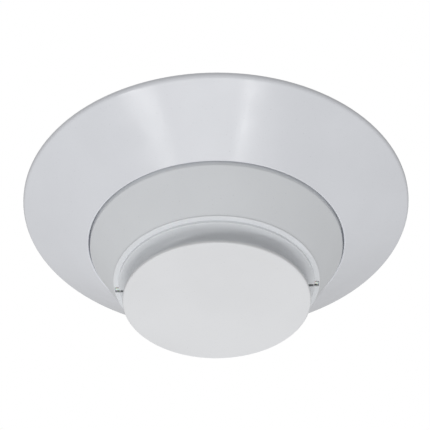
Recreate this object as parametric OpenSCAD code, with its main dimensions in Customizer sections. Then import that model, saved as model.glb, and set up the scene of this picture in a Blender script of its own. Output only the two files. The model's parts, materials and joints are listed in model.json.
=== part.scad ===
// Ceiling heat detector: a mounting base, a trim skirt that snaps round it, and a
// detector head that locks into the base with a bayonet twist. Millimetres, +Z up.
// The origin is the middle of the base's back face, which lies on the ceiling, so
// everything hangs below z = 0. A "depth" is a distance down from the ceiling.

/* [Trim skirt] */
// Outer diameter of the skirt's rim
skirt_d = 173; // [144:1:210]
// Depth of the skirt's inner edge below the ceiling
skirt_depth = 22.4; // [16:0.1:26]
// Wall thickness of the skirt
skirt_wall = 2; // [1.6:0.1:2.6]
// Height of the upright edge round the rim
rim_edge = 2.1; // [1.8:0.1:2.6]
// Rounding between the rim's upright edge and the cone
rim_round = 2.2; // [0.5:0.1:2.4]
// Gap between the skirt's inner edge and the head
skirt_gap = 0.7; // [0.6:0.1:2]
// Rounding of the skirt's edges
skirt_round = 0.5; // [0.2:0.1:0.8]
// Number of clip fingers that grip the base
finger_count = 4; // [3:1:6]
// Angle that each clip finger covers
finger_span = 38; // [20:1:50]
// Length of the clip fingers, down from the ceiling
finger_len = 6.5; // [5:0.1:8]
// Thickness of the clip fingers
finger_wall = 1.8; // [1.4:0.1:2.4]
// Clearance between the fingers and the base
finger_clear = 0.3; // [0.2:0.05:0.4]
// Thickness of the skirt's radial ribs
rib_t = 1.6; // [1.2:0.1:2.4]
// Width of the flat web at the back of the skirt
web_w = 8; // [5:0.1:12]
// Thickness of the web
web_t = 1.2; // [1:0.1:2]

/* [Detector head] */
// Diameter of the head's straight wall
head_d = 111.4; // [108:0.2:136]
// Depth where the head's wall starts, below the base's flange
head_top = 7.2; // [6.6:0.1:8.4]
// Depth where the straight wall turns into the cone
head_wall_depth = 23.4; // [20:0.1:27.2]
// Height of the cone
cone_h = 18; // [15.5:0.1:22.4]
// Wall thickness of the head's shell
head_wall = 2; // [1.6:0.1:2.4]
// Rounding between the straight wall and the cone
shoulder_round = 1.2; // [0.4:0.1:2]
// Diameter of the cone where it meets the collar
collar_d = 89.8; // [88:0.2:108]
// Height of the bead below the end of the cone
bead_h = 0.9; // [0.7:0.1:1.4]
// Width of the lip round the collar
lip_w = 2.4; // [1.8:0.1:3]
// Height of the step from the lip to the collar's face
step_h = 1.3; // [0.8:0.1:2]
// Thickness of the collar's face, which is the head's floor
floor_t = 1.6; // [1.4:0.1:2.4]
// Outer diameter of the neck under the collar
neck_d = 70.4; // [66:0.2:72]
// Length of the neck below the collar's face
neck_h = 3.2; // [2:0.1:4]
// Wall thickness of the neck
neck_wall = 1.6; // [1.2:0.1:2]
// Radius of the fillet between the collar's face and the neck
neck_fillet = 3.4; // [2:0.1:4.5]

/* [Sensor cap] */
// Diameter of the cap
cap_d = 81; // [76:0.2:86]
// Thickness of the cap
cap_t = 1.6; // [1.4:0.1:3]
// Gap between the collar's face and the cap, where warm air enters
inlet_gap = 7.6; // [5:0.1:8.4]
// Number of windows in the cage between the neck and the cap
window_count = 12; // [8:1:16]
// Width of the bars between the windows
bar_w = 4; // [3:0.1:6]
// Wall thickness of the cage
cage_wall = 1.5; // [1.2:0.1:2]
// Clearance between the cage and the neck
cage_clear = 0.2; // [0.1:0.05:0.4]
// Width of the two latch slots in the collar
slot_w = 1.6; // [1.4:0.1:2.4]
// Distance of the latch slots from the head's middle line
slot_off = 1.3; // [0.6:0.1:3]
// Clearance round the latch legs
latch_clear = 0.15; // [0.1:0.05:0.3]

/* [Base] */
// Thickness of the base plate
plate_t = 2.5; // [2:0.1:3]
// Depth of the flange round the base
flange_h = 5.5; // [4:0.1:6]
// Depth of the base's bayonet wall
base_wall_depth = 15; // [14.6:0.1:18]
// Wall thickness of the base
base_wall = 2; // [1.6:0.1:2.4]
// Diameter of the opening for the wires
wire_d = 30; // [20:1:36]
// Distance between the pair of slots for a four inch box
box_a = 88.9; // [82:0.1:90]
// Distance between the pair of slots for a three inch box
box_b = 69.85; // [60:0.01:84]
// Width of the screw slots
box_slot_w = 5; // [4.4:0.1:5.6]
// Length of the screw slots from end to end
box_slot_len = 9; // [7:0.1:9]

/* [Bayonet] */
// Number of lugs on the head
lug_count = 3; // [3:1:4]
// Radial room between the base's wall and the head's wall
bayonet_room = 2; // [1.8:0.1:2.6]
// Radial clearance of the lugs and ledges
bayonet_clear = 0.4; // [0.2:0.05:0.5]
// Depth of the ledges that carry the lugs
ledge_depth = 12; // [11.6:0.1:12.8]
// Thickness of the lugs and ledges
ledge_t = 2; // [1.4:0.1:2]
// Clearance between the lugs and the ledges
lug_clear = 0.3; // [0.1:0.05:0.4]
// Angle that a ledge covers
ledge_span = 18; // [14:1:20]
// Angle that a lug covers
lug_span = 16; // [12:1:18]

/* [Terminals] */
// Radius of the circle of terminals
terminal_r = 39; // [38:0.5:42]
// Radius of the circle of plug contacts
contact_r = 30; // [27:0.5:31]
// Radius of a terminal post
post_r = 5; // [4.4:0.1:5.4]
// Depth of the terminal posts
post_depth = 8; // [7.4:0.1:8.4]
// Radius of a terminal screw's shank
tscrew_r = 1.75; // [1.5:0.05:2]
// Radius of a terminal screw's head
tscrew_head_r = 3.5; // [3:0.1:4]
// Height of a terminal screw's head
tscrew_head_h = 2.4; // [1.8:0.1:2.6]
// Side of the square clamp plates
clamp_w = 8; // [7:0.1:8.6]
// Thickness of the clamp plates
clamp_t = 0.9; // [0.7:0.1:1.2]
// Thickness of the brass in the contacts
brass_t = 0.8; // [0.6:0.1:1]
// Gap between a plug blade and the leaves that grip it
leaf_clear = 0.15; // [0.1:0.05:0.3]
// Angle that a plug blade covers
blade_span = 14; // [10:1:16]

/* [Inside the head] */
// Height of the foam seal between the base and the rear cover
seal_h = 0.85; // [0.6:0.05:1.2]
// Thickness of the rear cover
cover_t = 2; // [1.6:0.1:2.4]
// Length of the rear cover's posts, down to the circuit board
spacer_h = 11.5; // [10:0.1:13]
// Thickness of the circuit board
board_t = 1.6; // [1:0.1:2]
// Clearance between the circuit board and the shell
board_clear = 3.2; // [2:0.1:5]
// Radius of the circle of cover screws
cover_screw_circle = 38; // [36:0.5:38.5]
// Radius of a cover screw's shank
cscrew_r = 1.4; // [1.2:0.05:1.6]
// Radius of a cover screw's head
cscrew_head_r = 2.6; // [2.2:0.1:2.8]
// Radius of the bosses and posts round the cover screws
boss_r = 3.6; // [3.2:0.1:4]
// Clearance round screws and pins
pin_clear = 0.15; // [0.1:0.05:0.3]
// Radius of the thermistor bead
bead_r = 1.2; // [0.8:0.1:1.6]

/* [Hidden] */
$fn = 96;

// how far a cut runs past the surface that it opens
cut = 1;
// overlap that joins two shapes of one moulding
weld = 0.3;

white = "whitesmoke";

// radii, from the head's wall inwards
skirt_r = skirt_d / 2;
head_r = head_d / 2;
head_in_r = head_r - head_wall;
skirt_in_r = head_r + skirt_gap;
finger_in_r = head_r + finger_clear;
finger_out_r = finger_in_r + finger_wall;
base_wall_r = head_in_r - bayonet_room;
ledge_r = head_in_r - bayonet_clear;
lug_in_r = base_wall_r + bayonet_clear;
cover_slide = 0.2;
cover_r = lug_in_r - cover_slide;
cover_seat_w = 1.7;
cover_seat_r = cover_r - cover_seat_w;
seal_r = cover_r - 2 * cover_slide;
seal_w = 2.8;

// depths, from the ceiling down
lug_depth = ledge_depth - lug_clear - ledge_t;
seal_gap = 0.15;
cover_top = base_wall_depth + seal_gap + seal_h;
cover_bottom = cover_top + cover_t;
board_top = cover_bottom + spacer_h;
board_bottom = board_top + board_t;
cone_end = head_wall_depth + cone_h;
lip_depth = cone_end + bead_h;
face_depth = lip_depth + step_h;
floor_top = face_depth - floor_t;
neck_end = face_depth + neck_h;
cap_top = face_depth + inlet_gap;
cap_bottom = cap_top + cap_t;

// the cone of the head, outside and inside
collar_r = collar_d / 2;
cone_run = (head_r - collar_r) / cone_h;
cone_skin = head_wall * sqrt(1 + cone_run * cone_run);
function cone_out(depth) = head_r - (depth - head_wall_depth) * cone_run;
function cone_in(depth) = cone_out(depth) - cone_skin;
lip_in_r = collar_r - lip_w;
bead_round = 0.6;
neck_r = neck_d / 2;
neck_in_r = neck_r - neck_wall;
fillet_r = min(neck_fillet, lip_in_r - neck_r - 1);
cap_r = cap_d / 2;
cage_r = neck_in_r - cage_clear;
board_r = cone_in(board_bottom) - board_clear;

// the skirt's cone
skirt_run = (skirt_r - skirt_in_r) / (skirt_depth - rim_edge);
skirt_skin = skirt_wall * sqrt(1 + 1 / (skirt_run * skirt_run));
function skirt_under(r) = rim_edge + (skirt_r - r) / skirt_run;
function skirt_inside(r) = skirt_under(r) - skirt_skin;

// how far the web and the ribs stay off the ceiling
off_ceiling = 0.3;

// the latches and, further out on the same line, the tips of the light pipes
slot_in_x = neck_r + 0.3;
latch_x = slot_in_x + latch_clear;
latch_len = 1.8;
pipe_r = 1.1;
pipe_x = cone_in(floor_top) - pipe_r - 0.4;
pipe_off = 1;
arm_h = 1.6;
tip_w = 1.5;
tip_len = 1.6;
tip_gap = 0.2;
tip_out_x = collar_r - bead_round - tip_gap;
tip_in_x = tip_out_x - tip_len;
// the pocket round a tip is wider on its far side than on its near side
near_gap = 0.6;
far_gap = 1.4;
// slots and pockets are thinned from inside on their far side, so that they open into the head
relief_in_x = latch_x + latch_len + 1;
relief_w = 2.4;
relief_skin = 0.6;
hook_len = 1.4;
hook_h = 1.2;
hook_gap = 0.1;
led_h = 1.1;
led_gap = 0.2;

// the terminals
terminal_angles = [45, 135, 225, 315];
contact_top = post_depth + brass_t;
clamp_gap = 0.1;
clamp_top = contact_top + clamp_gap;
screw_head_top = clamp_top + clamp_t;
collar_wall = 1;
collar_h = 2.8;
thread_clear = 0.05;
screw_end = 4.2;
leaf_end = base_wall_depth - 0.5;
leaf_span = 12;
blade_top = contact_top + 0.5;
leg_span = 6;
leg_past = 1;

// the cover screws
cover_screw_angles = [30, 150, 270];
counterbore_h = 6;
cscrew_seat = cover_top + counterbore_h;
cscrew_head_h = 1.9;
cscrew_grip = 5.5;
cscrew_end = board_bottom + cscrew_grip;

// the chip resistors and capacitors
chip_len = 2;
chip_w = 1.25;

// the thermistor
holder_r = 3.4;
holder_neck_r = 2.4;
holder_h = 1.8;
lead_r = 0.28;
lead_off = 0.7;
bead_depth = face_depth + 3.4;

// the vector of length 1 that points the same way as v
function unit(v) = v / norm(v);

// points along an arc, from angle a0 to angle a1
function arc_points(centre, r, a0, a1, steps = 6) =
    [for (i = [0 : steps]) let (a = a0 + (a1 - a0) * i / steps) centre + r * [cos(a), sin(a)]];

// the corner b of an outline, between its neighbours a and c, rounded to radius r
function corner(a, b, c, r) =
    let (
        u = unit(a - b),
        v = unit(c - b),
        half = acos(u * v) / 2,
        centre = b + unit(u + v) * r / sin(half),
        from = b + u * r / tan(half) - centre,
        to = b + v * r / tan(half) - centre,
        a0 = atan2(from[1], from[0]),
        turn = atan2(to[1], to[0]) - a0
    )
    arc_points(centre, r, a0, a0 + turn - 360 * round(turn / 360));

// a corner's point without its rounding
function flat(p) = [p[0], p[1]];

// an outline from a list of corners, each [radius, height, rounding]
function outline(corners) =
    let (n = len(corners))
    [for (i = [0 : n - 1])
        each corners[i][2] == 0
            ? [flat(corners[i])]
            : corner(flat(corners[(i + n - 1) % n]), flat(corners[i]),
                flat(corners[(i + 1) % n]), corners[i][2])];

// a plain ring between two radii and two depths
module ring(r_in, r_out, top, bottom)
    translate([0, 0, -bottom])
        difference() {
            cylinder(r = r_out, h = bottom - top);
            translate([0, 0, -cut])
                cylinder(r = r_in, h = bottom - top + 2 * cut);
        }

// a round disc or rod between two depths
module disc(r, top, bottom)
    translate([0, 0, -bottom])
        cylinder(r = r, h = bottom - top);

// a stretch of ring that covers an angle
module arc(r_in, r_out, top, bottom, span)
    rotate([0, 0, -span / 2])
        rotate_extrude(angle = span)
            translate([r_in, -bottom])
                square([r_out - r_in, bottom - top]);

// a block between two depths, centred across y
module block(x0, x1, width, top, bottom)
    translate([x0, -width / 2, -bottom])
        cube([x1 - x0, width, bottom - top]);

// a slot with round ends along x, cut between two depths
module slot_cut(length, width, top, bottom) {
    reach = length / 2 - width / 2;
    for (x = [-reach, reach])
        translate([x, 0, 0])
            disc(width / 2, top, bottom);
    block(-reach, reach, width, top, bottom);
}

// its child once at each terminal
module at_terminals()
    for (a = terminal_angles)
        rotate([0, 0, a])
            children();

// its child once at each cover screw
module at_cover_screws()
    for (a = cover_screw_angles)
        rotate([0, 0, a])
            translate([cover_screw_circle, 0, 0])
                children();

// ---------------------------------------------------------------- base

module post() {
    rail_w = 3;
    rail_past = 2;
    bore_floor = 1;
    difference() {
        union() {
            translate([terminal_r, 0, 0])
                disc(post_r, plate_t - weld, post_depth);
            block(contact_r - rail_past, terminal_r, rail_w, plate_t - weld, post_depth);
        }
        translate([terminal_r, 0, 0])
            disc(tscrew_r + thread_clear + collar_wall + pin_clear, plate_t + bore_floor,
                post_depth + cut);
    }
}

module bayonet_ledge() {
    stop_gap = 1;
    stop_span = 2.5;
    arc(base_wall_r - weld, ledge_r, ledge_depth, ledge_depth + ledge_t, ledge_span);
    rotate([0, 0, lug_span / 2 + stop_gap + stop_span / 2])
        arc(base_wall_r - weld, ledge_r, lug_depth, ledge_depth + ledge_t, stop_span);
}

module mounting_base() {
    wire_rim_h = 2;
    color(white) {
        difference() {
            union() {
                disc(head_r, 0, plate_t);
                ring(head_r - base_wall, head_r, plate_t - weld, flange_h);
                ring(base_wall_r - base_wall, base_wall_r, plate_t - weld, base_wall_depth);
                ring(wire_d / 2, wire_d / 2 + base_wall, plate_t - weld, plate_t + wire_rim_h);
            }
            disc(wire_d / 2, -cut, plate_t + wire_rim_h + cut);
            for (side = [-1, 1]) {
                translate([side * box_a / 2, 0, 0])
                    slot_cut(box_slot_len, box_slot_w, -cut, plate_t + cut);
                translate([0, side * box_b / 2, 0])
                    rotate([0, 0, 90])
                        slot_cut(box_slot_len, box_slot_w, -cut, plate_t + cut);
            }
        }
        at_terminals()
            post();
        for (i = [0 : lug_count - 1])
            rotate([0, 0, 90 + i * 360 / lug_count])
                bayonet_ledge();
    }
}

module terminal_contact() {
    inner_leaf_r = contact_r - brass_t / 2 - leaf_clear;
    outer_leaf_r = contact_r + brass_t / 2 + leaf_clear;
    leaf_t = 0.6;
    strip_w = 6;
    strip_in = 0.1;
    difference() {
        union() {
            block(inner_leaf_r - leaf_t + strip_in, terminal_r + clamp_w / 2, strip_w,
                post_depth, contact_top);
            translate([terminal_r, 0, 0])
                disc(tscrew_r + thread_clear + collar_wall, post_depth - collar_h, contact_top);
        }
        translate([terminal_r, 0, 0])
            disc(tscrew_r + thread_clear, post_depth - collar_h - cut, contact_top + cut);
    }
    arc(inner_leaf_r - leaf_t, inner_leaf_r, contact_top - weld, leaf_end, leaf_span);
    arc(outer_leaf_r, outer_leaf_r + leaf_t, contact_top - weld, leaf_end, leaf_span);
}

module terminal_contacts()
    color("gold")
        at_terminals()
            terminal_contact();

module clamp_plate(i)
    color("silver")
        rotate([0, 0, terminal_angles[i - 1]])
            difference() {
                block(terminal_r - clamp_w / 2, terminal_r + clamp_w / 2, clamp_w,
                    clamp_top, clamp_top + clamp_t);
                translate([terminal_r, 0, 0])
                    disc(tscrew_r + pin_clear, clamp_top - cut, clamp_top + clamp_t + cut);
            }

module terminal_screw(i) {
    recess_h = 1.2;
    recess_w = 0.9;
    recess_len = 4;
    head_bottom = screw_head_top + tscrew_head_h;
    color("lightgray")
        rotate([0, 0, terminal_angles[i - 1]])
            translate([terminal_r, 0, 0])
                difference() {
                    union() {
                        disc(tscrew_r, screw_end, screw_head_top + weld);
                        disc(tscrew_head_r, screw_head_top, head_bottom);
                    }
                    for (turn = [0, 90])
                        rotate([0, 0, turn])
                            block(-recess_len / 2, recess_len / 2, recess_w,
                                head_bottom - recess_h, head_bottom + cut);
                }
}

// ---------------------------------------------------------------- skirt

module skirt_profile() {
    rim_in_r = skirt_r - skirt_wall;
    polygon(outline([
        [rim_in_r, 0, 0],
        [skirt_r, 0, skirt_round],
        [skirt_r, -rim_edge, rim_round],
        [skirt_in_r, -skirt_depth, skirt_round],
        [skirt_in_r, -skirt_inside(skirt_in_r), 0],
        [rim_in_r, -skirt_inside(rim_in_r), 0]
    ]));
}

module skirt_rib() {
    rib_share = 0.8;
    rib_end = finger_out_r + rib_share * (skirt_r - finger_out_r);
    rib_top = off_ceiling + weld;
    sink = skirt_wall / 2;
    rotate([90, 0, 0])
        translate([0, 0, -rib_t / 2])
            linear_extrude(rib_t)
                polygon([
                    [finger_out_r - weld, -rib_top],
                    [finger_out_r - weld, -skirt_inside(finger_out_r) - sink],
                    [rib_end, -skirt_inside(rib_end) - sink],
                    [rib_end, -rib_top]
                ]);
}

// the collar that grips the base, with its flat web, cut into fingers
module finger_collar() {
    gap_span = 360 / finger_count - finger_span;
    gap_w = 2 * finger_out_r * sin(gap_span / 2);
    web_bottom = off_ceiling + web_t;
    difference() {
        rotate_extrude()
            polygon([
                [finger_in_r, -off_ceiling],
                [finger_in_r + web_w, -off_ceiling],
                [finger_in_r + web_w, -web_bottom],
                [finger_out_r, -web_bottom],
                [finger_out_r, -finger_len],
                [finger_in_r, -finger_len]
            ]);
        for (i = [0 : finger_count - 1])
            rotate([0, 0, (i + 0.5) * 360 / finger_count])
                block(finger_in_r * cos(gap_span / 2) - cut, finger_out_r + cut, gap_w,
                    web_bottom + weld, finger_len + cut);
    }
}

module trim_skirt()
    color(white) {
        rotate_extrude()
            skirt_profile();
        finger_collar();
        for (i = [0 : finger_count - 1], side = [-1, 1])
            rotate([0, 0, i * 360 / finger_count + side * finger_span / 3])
                skirt_rib();
    }

// ---------------------------------------------------------------- head

// the wall, shoulder, cone, lip, step, face and floor in one outline
module shell_profile() {
    edge_round = 0.3;
    fillet_end = 180 - asin(max(0, 1 - neck_h / fillet_r));
    inner_bend = head_wall_depth - (cone_skin - head_wall) / cone_run;
    polygon(outline([
        [head_in_r, -head_top, 0],
        [head_r, -head_top, edge_round],
        [head_r, -head_wall_depth, shoulder_round],
        [collar_r, -cone_end, 0],
        [collar_r, -lip_depth, bead_round],
        [lip_in_r, -lip_depth, 0],
        [lip_in_r, -face_depth, edge_round],
        [0, -face_depth, 0],
        [0, -floor_top, 0],
        [cone_in(floor_top), -floor_top, 0],
        [head_in_r, -inner_bend, 0]
    ]));
    polygon(concat(
        [[neck_in_r, -face_depth + weld], [neck_r + fillet_r, -face_depth + weld]],
        arc_points([neck_r + fillet_r, -face_depth - fillet_r], fillet_r, 90, fillet_end, 10),
        [[neck_r, -neck_end], [neck_in_r, -neck_end]]
    ));
}

// its child on the latches' line at both ends of the head, mirrored
module at_notches()
    for (side = [0, 1])
        mirror([side, 0, 0])
            translate([0, slot_off, 0])
                children();

// the latch slot, the pocket round the light pipe's tip, and the way for its arm
module notch_cut() {
    pocket_w = near_gap + tip_w + far_gap;
    pocket_y = (far_gap - near_gap) / 2;
    block(slot_in_x, tip_in_x, slot_w, board_bottom, neck_end + cut);
    translate([0, relief_w / 2, 0])
        block(relief_in_x, lip_in_r - relief_skin, slot_w + relief_w,
            board_bottom, face_depth - relief_skin);
    translate([0, pocket_y, 0])
        block(tip_in_x - tip_gap, tip_out_x + tip_gap, pocket_w, board_bottom, neck_end);
    translate([0, pocket_y + relief_w / 2, 0])
        block(relief_in_x, tip_out_x - relief_skin, pocket_w + relief_w,
            board_bottom, lip_depth - relief_skin);
    block(pipe_x, tip_out_x, tip_w + 2 * tip_gap, board_bottom, floor_top);
}

module head_shell() {
    cover_seat_h = 1.6;
    thread_past = 1;
    color(white)
        difference() {
            union() {
                rotate_extrude()
                    shell_profile();
                ring(cover_seat_r, head_in_r + weld, cover_bottom, cover_bottom + cover_seat_h);
                for (i = [0 : lug_count - 1])
                    rotate([0, 0, 90 + i * 360 / lug_count])
                        arc(lug_in_r, head_in_r + weld, lug_depth, lug_depth + ledge_t, lug_span);
                at_cover_screws()
                    disc(boss_r, board_bottom, floor_top + weld);
            }
            at_cover_screws()
                disc(cscrew_r + thread_clear, board_bottom - cut, cscrew_end + thread_past);
            disc(holder_neck_r + thread_clear, floor_top - cut, face_depth + cut);
            at_notches()
                notch_cut();
        }
}

// the tube under the cap, with windows all round
module cage() {
    window_w = 2 * PI * cage_r / window_count - bar_w;
    difference() {
        ring(cage_r - cage_wall, cage_r, face_depth, cap_top + weld);
        for (i = [0 : window_count - 1])
            rotate([0, 0, (i + 0.5) * 360 / window_count])
                block(cage_r - cage_wall - cut, cage_r + cut, window_w, neck_end, cap_bottom);
    }
}

module sensor_cap() {
    top_round = 0.3;
    bottom_round = 0.7;
    color("white") {
        rotate_extrude()
            polygon(outline([
                [0, -cap_top, 0],
                [cap_r, -cap_top, top_round],
                [cap_r, -cap_bottom, bottom_round],
                [0, -cap_bottom, 0]
            ]));
        cage();
        at_notches() {
            hook_bottom = floor_top - hook_gap;
            leg_w = slot_w - 2 * latch_clear;
            block(latch_x, latch_x + latch_len, leg_w, hook_bottom - hook_h, cap_top + weld);
            block(latch_x - hook_len, latch_x + latch_len, leg_w, hook_bottom - hook_h, hook_bottom);
        }
    }
}

module rear_cover() {
    rib_h = 1;
    rib_r = 18;
    rib_w = 1.5;
    color(white)
        difference() {
            union() {
                disc(cover_r, cover_top, cover_bottom);
                ring(rib_r, rib_r + rib_w, cover_top - rib_h, cover_top + weld);
                at_cover_screws()
                    disc(boss_r, cover_bottom - weld, board_top);
            }
            at_cover_screws() {
                disc(cscrew_head_r + pin_clear, cover_top - cut, cscrew_seat);
                disc(cscrew_r + pin_clear, cscrew_seat - cut, board_top + cut);
            }
            at_terminals()
                blade_slot(cover_top - cut, cover_bottom + cut);
        }
}

module rear_cover_screws() {
    recess_h = 1;
    recess_w = 0.7;
    recess_len = 3;
    color("silver")
        at_cover_screws() {
            difference() {
                disc(cscrew_head_r, cscrew_seat - cscrew_head_h, cscrew_seat);
                for (turn = [0, 90])
                    rotate([0, 0, turn])
                        block(-recess_len / 2, recess_len / 2, recess_w,
                            cscrew_seat - cscrew_head_h - cut,
                            cscrew_seat - cscrew_head_h + recess_h);
            }
            disc(cscrew_r, cscrew_seat - weld, cscrew_end);
        }
}

module dust_seal()
    color("dimgray")
        ring(seal_r - seal_w, seal_r, cover_top - seal_h, cover_top);

// the hole for a plug blade's leg
module blade_slot(top, bottom)
    arc(contact_r - brass_t / 2 - pin_clear, contact_r + brass_t / 2 + pin_clear,
        top, bottom, leg_span + 1);

module contact_blades() {
    blade_w = 2 * contact_r * sin(blade_span / 2);
    leg_w = 2 * contact_r * sin(leg_span / 2);
    leg_end = board_bottom + leg_past;
    color("gold")
        at_terminals()
            intersection() {
                ring(contact_r - brass_t / 2, contact_r + brass_t / 2, blade_top, leg_end);
                union() {
                    block(contact_r - 2, contact_r + 2, blade_w, blade_top - cut, cover_top);
                    block(contact_r - 3, contact_r + 3, leg_w, blade_top, leg_end + cut);
                }
            }
}

module light_pipes()
    color("ghostwhite")
        at_notches() {
            translate([pipe_x, -pipe_off, 0])
                disc(pipe_r, board_bottom + led_h + led_gap, floor_top);
            translate([0, -pipe_off / 2, 0])
                block(pipe_x, pipe_x + pipe_r, pipe_off + tip_w, floor_top - arm_h, floor_top);
            block(pipe_x, tip_out_x, tip_w, floor_top - arm_h, floor_top);
            block(tip_in_x, tip_out_x, tip_w, floor_top - weld, lip_depth);
        }

// ---------------------------------------------------------------- electronics

module status_leds() {
    led_len = 3.2;
    led_w = 1.8;
    color("lightyellow")
        at_notches()
            translate([pipe_x, -pipe_off, 0])
                block(-led_len / 2, led_len / 2, led_w, board_bottom, board_bottom + led_h);
}

module circuit_board()
    color("darkgreen")
        difference() {
            disc(board_r, board_top, board_bottom);
            at_cover_screws()
                disc(cscrew_r + pin_clear, board_top - cut, board_bottom + cut);
            at_terminals()
                blade_slot(board_top - cut, board_bottom + cut);
            for (x = [-lead_off, lead_off])
                translate([x, 0, 0])
                    disc(lead_r + thread_clear, board_top - cut, board_bottom + cut);
        }

// one row of pins along x, on the side of a chip that points to +y
module pin_row(count, pitch, y, top, bottom) {
    pin_w = 0.4;
    pin_len = 1.2;
    pin_out = 0.5;
    for (i = [0 : count - 1])
        translate([(i - (count - 1) / 2) * pitch, y + pin_out, 0])
            block(-pin_w / 2, pin_w / 2, pin_len, top, bottom);
}

// a chip on the room side of the board, with pins along some of its sides
module chip(length, width, height, count, pitch, sides) {
    stand_off = 0.1;
    block(-length / 2, length / 2, width, board_bottom + stand_off, board_bottom + height);
    for (a = sides)
        rotate([0, 0, a])
            pin_row(count, pitch, width / 2, board_bottom, board_bottom + height / 2);
}

module microcontroller()
    color("black")
        translate([0, 13, 0])
            chip(length = 7, width = 7, height = 1.2, count = 8, pitch = 0.8,
                sides = [0, 90, 180, 270]);

module interface_chip()
    color("black")
        translate([0, -15, 0])
            chip(length = 10, width = 4, height = 1.5, count = 8, pitch = 1.27, sides = [0, 180]);

module electrolytic_capacitor() {
    can_r = 4;
    can_gap = 2.5;
    foot_h = 1;
    color("silver")
        translate([-18, 0, 0]) {
            disc(can_r, board_top - spacer_h + can_gap, board_top - foot_h + weld);
            block(-can_r, can_r, 2 * can_r, board_top - foot_h, board_top);
        }
}

module surge_suppressor() {
    body_len = 7;
    body_w = 6;
    body_h = 2.4;
    stand_off = 0.1;
    tab_len = 1;
    tab_w = 3;
    tab_h = 1.2;
    tab_out = 0.1;
    color("black")
        translate([16, 10, 0]) {
            block(-body_len / 2, body_len / 2, body_w, board_top - body_h, board_top - stand_off);
            for (side = [-1, 1])
                translate([side * (body_len / 2 + tab_out), 0, 0])
                    block(-tab_len / 2, tab_len / 2, tab_w, board_top - tab_h, board_top);
        }
}

module reed_switch() {
    glass_r = 1.2;
    glass_len = 12;
    reach = 2;
    wire_w = 0.6;
    axis_depth = board_top - 1.8;
    color("lightblue")
        translate([34, 0, 0]) {
            translate([0, glass_len / 2, -axis_depth])
                rotate([90, 0, 0])
                    cylinder(r = glass_r, h = glass_len);
            for (side = [-1, 1]) {
                translate([0, side * (glass_len / 2 + reach / 2), 0])
                    block(-wire_w / 2, wire_w / 2, reach + weld,
                        axis_depth - wire_w / 2, axis_depth + wire_w / 2);
                translate([0, side * (glass_len / 2 + reach), 0])
                    block(-wire_w / 2, wire_w / 2, wire_w, axis_depth - wire_w / 2, board_top);
            }
        }
}

module crystal() {
    can_w = 4.6;
    can_len = 11;
    can_h = 3.5;
    color("lightgray")
        translate([14, 0, 0])
            rotate([0, 0, 90])
                slot_cut(can_len, can_w, board_bottom, board_bottom + can_h);
}

// two columns on the room side of the board
module chip_resistors() {
    rows = 6;
    row_pitch = 3;
    chip_h = 0.5;
    color("dimgray")
        for (x = [-22, -18], row = [0 : rows - 1])
            translate([x, (row - (rows - 1) / 2) * row_pitch, 0])
                block(-chip_len / 2, chip_len / 2, chip_w, board_bottom, board_bottom + chip_h);
}

// two rows on the ceiling side of the board
module chip_capacitors() {
    columns = 5;
    column_pitch = 4;
    chip_h = 0.9;
    color("tan")
        for (y = [-12, -16], column = [0 : columns - 1])
            translate([(column - (columns - 1) / 2) * column_pitch, y, 0])
                block(-chip_len / 2, chip_len / 2, chip_w, board_top - chip_h, board_top);
}

module thermistor_holder()
    color(white)
        difference() {
            union() {
                disc(holder_r, face_depth, face_depth + holder_h);
                disc(holder_neck_r, floor_top, face_depth + weld);
            }
            for (x = [-lead_off, lead_off])
                translate([x, 0, 0])
                    disc(lead_r + thread_clear, floor_top - cut, face_depth + holder_h + cut);
        }

module thermistor_leads()
    color("silver")
        for (x = [-lead_off, lead_off])
            translate([x, 0, 0])
                disc(lead_r, board_top - leg_past, bead_depth);

module thermistor_bead()
    color("black")
        difference() {
            translate([0, 0, -bead_depth])
                sphere(r = bead_r);
            for (x = [-lead_off, lead_off])
                translate([x, 0, 0])
                    disc(lead_r, bead_depth - 2 * bead_r, bead_depth);
        }

mounting_base();
terminal_contacts();
clamp_plate(1);  // clamp_plate_1
clamp_plate(2);  // clamp_plate_2
clamp_plate(3);  // clamp_plate_3
clamp_plate(4);  // clamp_plate_4
terminal_screw(1);  // terminal_screw_1
terminal_screw(2);  // terminal_screw_2
terminal_screw(3);  // terminal_screw_3
terminal_screw(4);  // terminal_screw_4
trim_skirt();
head_shell();
sensor_cap();
rear_cover();
rear_cover_screws();
dust_seal();
contact_blades();
circuit_board();
light_pipes();
status_leds();
microcontroller();
interface_chip();
electrolytic_capacitor();
surge_suppressor();
reed_switch();
crystal();
chip_resistors();
chip_capacitors();
thermistor_holder();
thermistor_leads();
thermistor_bead();
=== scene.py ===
import json
import math

import bpy
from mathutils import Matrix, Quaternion, Vector

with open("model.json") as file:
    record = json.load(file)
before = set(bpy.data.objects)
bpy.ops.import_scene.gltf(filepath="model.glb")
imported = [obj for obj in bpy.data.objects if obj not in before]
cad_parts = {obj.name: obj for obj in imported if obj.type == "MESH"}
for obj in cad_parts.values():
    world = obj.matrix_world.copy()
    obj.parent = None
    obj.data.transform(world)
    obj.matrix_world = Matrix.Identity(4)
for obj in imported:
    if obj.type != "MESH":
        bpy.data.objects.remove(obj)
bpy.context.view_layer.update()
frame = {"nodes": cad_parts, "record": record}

NODES = frame["nodes"]
RECORD = frame["record"]
SLOT_OF_NODE = {part["node"]: part["material_slot"] for part in RECORD["subparts"]}
TINT = {m["slot"]: tuple(m["base_color"][:3]) for m in RECORD["materials"]}

# all lengths are metres, and this is a thousandth of a millimetre
MICRON = 1e-6


# ---------------------------------------------------------------- node helpers

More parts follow.
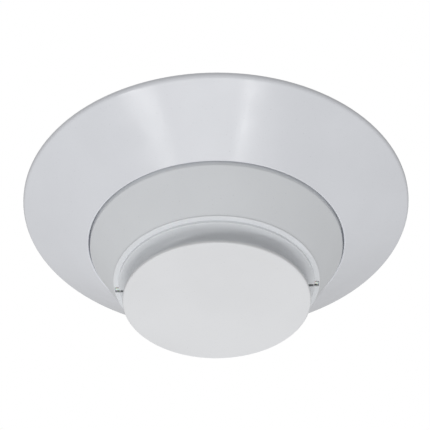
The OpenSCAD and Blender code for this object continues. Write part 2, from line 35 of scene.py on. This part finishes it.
class Surface:
    """A Principled material, and short ways to add the nodes that give it its detail.

    Every pattern is laid out in the object's own metres, so a noise of scale 100
    has features about a centimetre wide, and it rides with its body.
    """

    def __init__(self, name, **sockets):
        self.material = bpy.data.materials.new(name)
        self.material.use_nodes = True
        self.tree = self.material.node_tree
        self.shader = self.tree.nodes["Principled BSDF"]
        coordinates = self.add("ShaderNodeTexCoord").outputs
        self.place, self.facing = coordinates["Object"], coordinates["Normal"]
        self.normal = None
        for socket, value in sockets.items():
            self.shader.inputs[socket.replace("_", " ")].default_value = value

    def add(self, kind, values=None, **settings):
        """A node of that kind; a value may be a number, a colour or another node's output."""
        node = self.tree.nodes.new(kind)
        for key, value in settings.items():
            setattr(node, key, value)
        for socket, value in (values or {}).items():
            if isinstance(value, bpy.types.NodeSocket):
                self.tree.links.new(value, node.inputs[socket])
            else:
                node.inputs[socket].default_value = value
        return node

    def math(self, operation, *values):
        node = self.add("ShaderNodeMath", dict(enumerate(values)), operation=operation)
        return node.outputs[0]

    def length(self, x, y):
        """The length of the flat vector (x, y)."""
        squares = self.math("ADD", self.math("MULTIPLY", x, x), self.math("MULTIPLY", y, y))
        return self.math("SQRT", squares)

    def axes(self, vector):
        """The vector's outputs X, Y and Z."""
        return self.add("ShaderNodeSeparateXYZ", {0: vector}).outputs

    def stretched(self, x, y, z):
        """The object's coordinates, scaled along each axis."""
        values = {0: self.place, 1: (x, y, z)}
        return self.add("ShaderNodeVectorMath", values, operation="MULTIPLY").outputs[0]

    def noise(self, scale, detail=2.0, rough=0.5, place=None):
        """A soft cloudy pattern of 0..1."""
        node = self.add("ShaderNodeTexNoise", {
            "Vector": place or self.place, "Scale": scale, "Detail": detail, "Roughness": rough,
        })
        return node.outputs[0]

    def cells(self, scale, place=None, **settings):
        """The distance to the nearest of many scattered points, in cells."""
        values = {"Vector": place or self.place, "Scale": scale}
        return self.add("ShaderNodeTexVoronoi", values, **settings).outputs["Distance"]

    def spread(self, value, start, end, low=0.0, high=1.0):
        """value from start..end, eased onto low..high and held there beyond."""
        node = self.add("ShaderNodeMapRange", {
            "Value": value, "From Min": start, "From Max": end, "To Min": low, "To Max": high,
        }, interpolation_type="SMOOTHSTEP")
        return node.outputs["Result"]

    def mix(self, share, first, second):
        """first where share is 0, second where it is 1; both are colours."""
        node = self.add("ShaderNodeMix", data_type="RGBA")
        for name, value in (("Factor", share), ("A", first), ("B", second)):
            kind = "VALUE" if name == "Factor" else "RGBA"
            socket = next(s for s in node.inputs if s.name == name and s.type == kind)
            if isinstance(value, bpy.types.NodeSocket):
                self.tree.links.new(value, socket)
            else:
                socket.default_value = value if kind == "VALUE" else (*value[:3], 1.0)
        return next(s for s in node.outputs if s.type == "RGBA")

    def mottle(self, pattern, color, dark, light, start=0.3, end=0.7):
        """The colour times dark where the pattern is low, and times light where it is high."""
        return self.mix(self.spread(pattern, start, end), shade(color, dark), shade(color, light))

    def bump(self, height, depth):
        """Raises a pattern of 0..1 out of the surface, depth metres high."""
        values = {"Height": height, "Distance": depth}
        if self.normal:
            values["Normal"] = self.normal
        self.normal = self.add("ShaderNodeBump", values).outputs["Normal"]

    def finish(self, color, roughness):
        """Links what was built to the shader, and returns the material."""
        links = (("Base Color", color), ("Roughness", roughness), ("Normal", self.normal))
        for socket, value in links:
            self.tree.links.new(value, self.shader.inputs[socket])
        return self.material


def shade(color, amount):
    """A colour made lighter or darker by a factor."""
    return tuple(min(1.0, c * amount) for c in color)


# ---------------------------------------------------------------- materials

def ejector_marks(surface, circle, count, mark, line=220 * MICRON):
    """1 on thin circles of radius mark, spaced evenly round a circle: a mould's ejector pins.

    They show only on faces that look up, which are the hidden backs of the mouldings.
    """
    turn = 2 * math.pi / count
    place = surface.axes(surface.place)
    radius = surface.length(place["X"], place["Y"])
    steps = surface.math("MULTIPLY", surface.math("ARCTAN2", place["Y"], place["X"]), 1 / turn)
    off = surface.math("SUBTRACT", steps, surface.math("ROUND", steps))
    along = surface.math("MULTIPLY", surface.math("MULTIPLY", off, turn), radius)
    across = surface.math("SUBTRACT", radius, circle)
    away = surface.length(along, across)
    edge = surface.math("ABSOLUTE", surface.math("SUBTRACT", away, mark))
    upward = surface.spread(surface.axes(surface.facing)["Z"], 0.3, 0.6)
    return surface.math("MULTIPLY", surface.spread(edge, line, 0.0), upward)


def white_plastic(slot, roughness, peel, grain, marks=None):
    """Moulded white ABS: a soft flow pattern, fine specks, orange peel and the mould's grain."""
    s = Surface(slot, IOR=1.5)
    color = TINT[slot]
    flow = s.noise(22, detail=3, rough=0.55)
    specks = s.noise(1500, detail=1)
    tone = s.mottle(flow, color, 0.975, 1.012)
    tone = s.mix(s.spread(specks, 0.7, 0.78, 0, 0.35), tone, shade(color, 0.72))
    if marks:
        pins = ejector_marks(s, *marks)
        tone = s.mix(s.math("MULTIPLY", pins, 0.2), tone, shade(color, 0.6))
        s.bump(pins, 60 * MICRON)
    s.bump(s.noise(240), peel)
    s.bump(s.noise(3200), grain)
    rubs = s.noise(60, detail=5, rough=0.65)
    return s.finish(tone, s.spread(rubs, 0.35, 0.7, roughness - 0.035, roughness + 0.05))


def metal(slot, dull, roughness, depth, dull_share=0.5):
    """Rolled or drawn metal: fine lines along x, with duller patches."""
    s = Surface(slot, Metallic=1.0)
    patches = s.noise(180, detail=4, rough=0.6)
    lines = s.noise(900, place=s.stretched(0.06, 1, 1))
    tone = s.mix(s.spread(patches, 0.4, 0.7, 0, dull_share), TINT[slot], dull)
    s.bump(lines, depth)
    return s.finish(tone, s.spread(patches, 0.3, 0.7, roughness, roughness + 0.18))


def foam_rubber(slot):
    """Closed-cell foam: small cells with thin walls between them."""
    s = Surface(slot)
    cells = s.cells(1900)
    tone = s.mottle(cells, TINT[slot], 0.55, 1.3, 0.1, 0.6)
    s.bump(cells, 120 * MICRON)
    return s.finish(tone, s.spread(s.noise(300), 0.3, 0.7, 0.8, 0.95))


def circuit_laminate(slot):
    """Green solder mask over copper tracks, with tinned vias."""
    s = Surface(slot, IOR=1.5)
    color = TINT[slot]
    tinned = (0.62, 0.60, 0.55)
    flat = s.stretched(1, 1, 0)
    tracks = s.spread(s.cells(330, flat, distance="CHEBYCHEV"), 0.42, 0.46)
    vias = s.spread(s.cells(190, flat), 0.1, 0.08)
    weave = s.noise(1300, detail=1, place=s.stretched(1, 0.3, 1))
    tone = s.mottle(weave, color, 0.8, 1.15)
    tone = s.mix(tracks, tone, shade(color, 1.9))
    tone = s.mix(vias, tone, tinned)
    s.bump(tracks, 30 * MICRON)
    s.bump(weave, 10 * MICRON)
    return s.finish(tone, s.spread(weave, 0.3, 0.7, 0.3, 0.42))


def moulded_black(slot, roughness, grain):
    """A chip's moulding compound or a dipped coat: dark, with filler specks."""
    s = Surface(slot)
    specks = s.noise(2600, detail=3, rough=0.7)
    tone = s.mottle(specks, TINT[slot], 0.8, 2.4, 0.45, 0.75)
    s.bump(specks, grain)
    return s.finish(tone, s.spread(specks, 0.3, 0.7, roughness - 0.06, roughness + 0.08))


def ceramic(slot):
    """The fired, slightly grainy body of a small chip."""
    s = Surface(slot)
    grains = s.noise(2200, detail=3, rough=0.6)
    tone = s.mottle(grains, TINT[slot], 0.82, 1.18, 0.35, 0.7)
    s.bump(grains, 10 * MICRON)
    return s.finish(tone, s.spread(grains, 0.3, 0.7, 0.42, 0.6))


def clear_glass(slot):
    """A drawn glass tube, faintly tinted and slightly wavy."""
    s = Surface(slot, Transmission_Weight=0.85, IOR=1.5)
    waves = s.noise(260, detail=1, place=s.stretched(1, 0.2, 1))
    tone = s.mottle(waves, TINT[slot], 0.94, 1.08)
    s.bump(waves, 20 * MICRON)
    return s.finish(tone, s.spread(waves, 0.3, 0.7, 0.03, 0.09))


def milky_acrylic(slot):
    """A moulded light pipe or LED body: bright, slightly translucent and satin."""
    s = Surface(slot, IOR=1.49, Subsurface_Weight=0.35, Subsurface_Scale=0.0006)
    cloud = s.noise(900, detail=3)
    tone = s.mottle(cloud, TINT[slot], 0.94, 1.04)
    s.bump(cloud, 15 * MICRON)
    return s.finish(tone, s.spread(cloud, 0.3, 0.7, 0.22, 0.36))


def make_materials():
    """One material for each slot of the record, in the record's own colours.

    The marks of a moulding are the radius of its circle of ejector pins, their number
    and the radius of a pin.
    """
    um = MICRON
    recipes = {
        "skirt_plastic": (white_plastic, dict(
            roughness=0.2, peel=12 * um, grain=1.2 * um, marks=(0.0625, 12, 0.0016))),
        "head_plastic": (white_plastic, dict(roughness=0.33, peel=10 * um, grain=1.6 * um)),
        "cap_plastic": (white_plastic, dict(roughness=0.42, peel=6 * um, grain=2.2 * um)),
        "base_plastic": (white_plastic, dict(
            roughness=0.5, peel=8 * um, grain=6 * um, marks=(0.05, 9, 0.002))),
        "cover_plastic": (white_plastic, dict(
            roughness=0.52, peel=8 * um, grain=6 * um, marks=(0.024, 6, 0.0015))),
        "brass": (metal, dict(dull=(0.42, 0.27, 0.10), roughness=0.26, depth=12 * um)),
        "plated_steel": (metal, dict(dull=(0.42, 0.43, 0.41), roughness=0.28, depth=8 * um)),
        "can_aluminium": (metal, dict(
            dull=(0.5, 0.5, 0.5), roughness=0.3, depth=10 * um, dull_share=0.3)),
        "can_steel": (metal, dict(
            dull=(0.45, 0.45, 0.44), roughness=0.24, depth=8 * um, dull_share=0.3)),
        "foam_rubber": (foam_rubber, {}),
        "board_laminate": (circuit_laminate, {}),
        "chip_black": (moulded_black, dict(roughness=0.55, grain=12 * um)),
        "bead_epoxy": (moulded_black, dict(roughness=0.2, grain=6 * um)),
        "chip_ceramic": (ceramic, {}),
        "led_package": (milky_acrylic, {}),
        "light_pipe_plastic": (milky_acrylic, {}),
        "reed_glass": (clear_glass, {}),
    }
    return {slot: maker(slot, **options) for slot, (maker, options) in recipes.items()}


def dress(materials):
    """Gives every CAD node the finished material of its slot."""
    for name, node in NODES.items():
        material = materials[SLOT_OF_NODE[name]]
        node.data.materials.clear()
        node.data.materials.append(material)


# ---------------------------------------------------------------- camera

def make_camera():
    """A camera below and in front of the detector, looking up at the ceiling plane's middle."""
    azimuth, elevation, roll = math.radians(2.18), math.radians(-41.11), math.radians(-0.48)
    distance = 0.707
    back = Vector((
        math.sin(azimuth) * math.cos(elevation),
        -math.cos(azimuth) * math.cos(elevation),
        math.sin(elevation),
    ))
    data = bpy.data.cameras.new("camera")
    data.sensor_width = 36
    data.lens = 131.16
    data.shift_x = -0.0024
    data.shift_y = -0.0097
    data.clip_start, data.clip_end = 0.01, 20
    camera = bpy.data.objects.new("camera", data)
    bpy.context.scene.collection.objects.link(camera)
    camera.location = back * distance
    camera.rotation_mode = "QUATERNION"
    camera.rotation_quaternion = (-back).to_track_quat("-Z", "Y") @ Quaternion((0, 0, 1), roll)
    bpy.context.scene.camera = camera


# ---------------------------------------------------------------- studio

# the floor's height and radius
FLOOR_Z = -2.4
FLOOR_R = 6.0
# where the soft boxes aim: the detector's middle
AIM = (0, 0, -0.03)
# name, position, width and height of each soft box, and its power in watts
LIGHTS = (
    ("below", (0, 0, -1.9), 2.2, 2.2, 14.4),
    ("rear", (0, 1.9, -0.7), 1.6, 1.6, 2.3),
    ("panel", (-0.1, -0.76, -1.40), 0.8, 0.34, 0.83),
    ("streak_left", (-0.67, -0.60, -1.36), 0.2, 0.34, 0.78),
    ("streak_left_outer", (-0.87, -0.66, -1.30), 0.2, 0.3, 2.0),
    ("streak_right", (0.41, -0.68, -1.42), 0.13, 0.34, 0.83),
    ("top", (-0.4, 0.5, 1.9), 1.8, 1.8, 8.0),
)
# as wide as the floor and below the detector, so it lights nothing else
FLOOR_LIGHT = ("floor", (0, 0, FLOOR_Z + 1.3), 2 * FLOOR_R, 2 * FLOOR_R, 165)
# strength of the even white light from all round
WORLD_LIGHT = 0.405


def area_light(name, position, width, height, power, aim=AIM):
    """A soft box that faces its aim and isn't seen itself."""
    data = bpy.data.lights.new(name, "AREA")
    data.shape = "ELLIPSE"
    data.size, data.size_y = width, height
    data.energy = power
    light = bpy.data.objects.new(name, data)
    bpy.context.scene.collection.objects.link(light)
    light.location = position
    light.rotation_mode = "QUATERNION"
    light.rotation_quaternion = (Vector(aim) - Vector(position)).to_track_quat("-Z", "Y")
    light.visible_camera = False


def make_world():
    """White behind the detector, and a dimmer even light from all round."""
    world = bpy.data.worlds.new("studio")
    bpy.context.scene.world = world
    world.use_nodes = True
    tree = world.node_tree
    background = tree.nodes["Background"]
    background.inputs["Color"].default_value = (1, 1, 1, 1)
    path = tree.nodes.new("ShaderNodeLightPath")
    level = tree.nodes.new("ShaderNodeMapRange")
    level.inputs["To Min"].default_value = WORLD_LIGHT
    level.inputs["To Max"].default_value = 1.0
    tree.links.new(path.outputs["Is Camera Ray"], level.inputs["Value"])
    tree.links.new(level.outputs["Result"], background.inputs["Strength"])


def make_floor(segments=96):
    """The pale floor of the room, far below the ceiling that the detector hangs from.

    It has its own light and sends none of it back up, so it leaves the detector's look alone.
    """
    angles = [2 * math.pi * i / segments for i in range(segments)]
    rim = [(FLOOR_R * math.cos(a), FLOOR_R * math.sin(a), FLOOR_Z) for a in angles]
    mesh = bpy.data.meshes.new("floor")
    mesh.from_pydata(rim, [], [list(range(segments))])
    floor = bpy.data.objects.new("floor", mesh)
    bpy.context.scene.collection.objects.link(floor)
    s = Surface("floor")
    cloud = s.noise(1.3, detail=4)
    tone = s.mix(s.spread(cloud, 0.3, 0.7), (0.86, 0.86, 0.85), (0.9, 0.9, 0.89))
    s.bump(s.noise(120, detail=3), 300 * MICRON)
    mesh.materials.append(s.finish(tone, s.spread(cloud, 0.3, 0.7, 0.55, 0.7)))
    floor.visible_diffuse = floor.visible_glossy = False


def make_studio():
    make_world()
    make_floor()
    area_light(*FLOOR_LIGHT, aim=(0, 0, FLOOR_Z))
    for light in LIGHTS:
        area_light(*light)
    view = bpy.context.scene.view_settings
    view.view_transform = "Standard"
    view.look = "None"


dress(make_materials())
make_camera()
make_studio()
